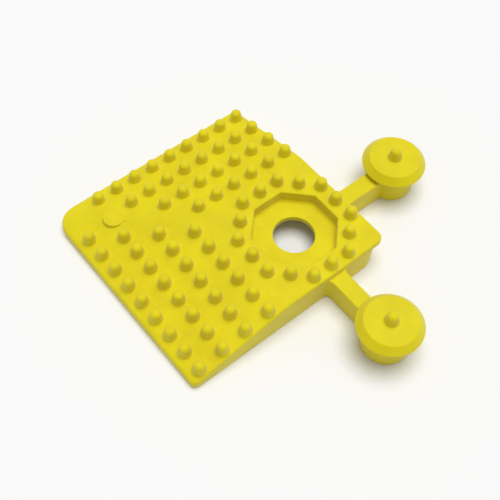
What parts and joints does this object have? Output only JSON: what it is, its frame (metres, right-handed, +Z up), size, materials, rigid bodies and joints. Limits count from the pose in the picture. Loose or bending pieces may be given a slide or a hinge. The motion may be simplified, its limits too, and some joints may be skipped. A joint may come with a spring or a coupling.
{
  "type": "interlocking ramp mat corner tile",
  "caption": "Studded rubber corner ramp tile: two mitred ramps, octagonal recess with drain hole, two flexible arms with mushroom plugs.",
  "frame": {"origin": "centre of the whole footprint, plugs included, on the floor", "axes": "+X from the low west edge to the east arm and its plug, +Y from the low south edge to the north arm and its plug, +Z up"},
  "size_m": [0.1836, 0.1836, 0.0294],
  "materials": {
    "moulded_rubber": "matte"
  },
  "bodies": {
    "tile": {"deck_skin": "moulded_rubber", "south_ramp_skin": "moulded_rubber", "west_ramp_skin": "moulded_rubber", "south_rim": "moulded_rubber", "west_rim": "moulded_rubber", "north_wall": "moulded_rubber", "east_wall": "moulded_rubber", "recess_collar": "moulded_rubber", "recess_floor": "moulded_rubber", "recess_feet": "moulded_rubber", "hip_rib": "moulded_rubber", "south_ribs": "moulded_rubber", "west_ribs": "moulded_rubber", "south_studs": "moulded_rubber", "west_studs": "moulded_rubber", "ring_studs": "moulded_rubber", "corner_boss": "moulded_rubber"},
    "north_arm": {"north_arm_root": "moulded_rubber"},
    "north_plug": {"north_arm_tip": "moulded_rubber", "north_stem": "moulded_rubber", "north_head": "moulded_rubber", "north_nub": "moulded_rubber"},
    "east_arm": {"east_arm_root": "moulded_rubber"},
    "east_plug": {"east_arm_tip": "moulded_rubber", "east_stem": "moulded_rubber", "east_head": "moulded_rubber", "east_nub": "moulded_rubber"}
  },
  "joints": [
    {"name": "north_arm_lift", "type": "hinge", "parent": "tile", "child": "north_arm", "pos_m": [0.00115, 0.04165, 0.00785], "axis": [1, 0, 0], "range_deg": [-15, 35], "stiffness_Nm_per_rad": 0.7, "deforming": ["north_arm_root"]},
    {"name": "north_plug_swing", "type": "hinge", "parent": "north_arm", "child": "north_plug", "pos_m": [0.00115, 0.05465, 0.00785], "axis": [0, 0, 1], "range_deg": [-25, 25], "stiffness_Nm_per_rad": 0.28, "deforming": ["north_arm_tip"]},
    {"name": "east_arm_lift", "type": "hinge", "parent": "tile", "child": "east_arm", "pos_m": [0.04165, 0.00115, 0.00785], "axis": [0, -1, 0], "range_deg": [-15, 35], "stiffness_Nm_per_rad": 0.7, "deforming": ["east_arm_root"]},
    {"name": "east_plug_swing", "type": "hinge", "parent": "east_arm", "child": "east_plug", "pos_m": [0.05465, 0.00115, 0.00785], "axis": [0, 0, -1], "range_deg": [-25, 25], "stiffness_Nm_per_rad": 0.28, "deforming": ["east_arm_tip"]}
  ]
}
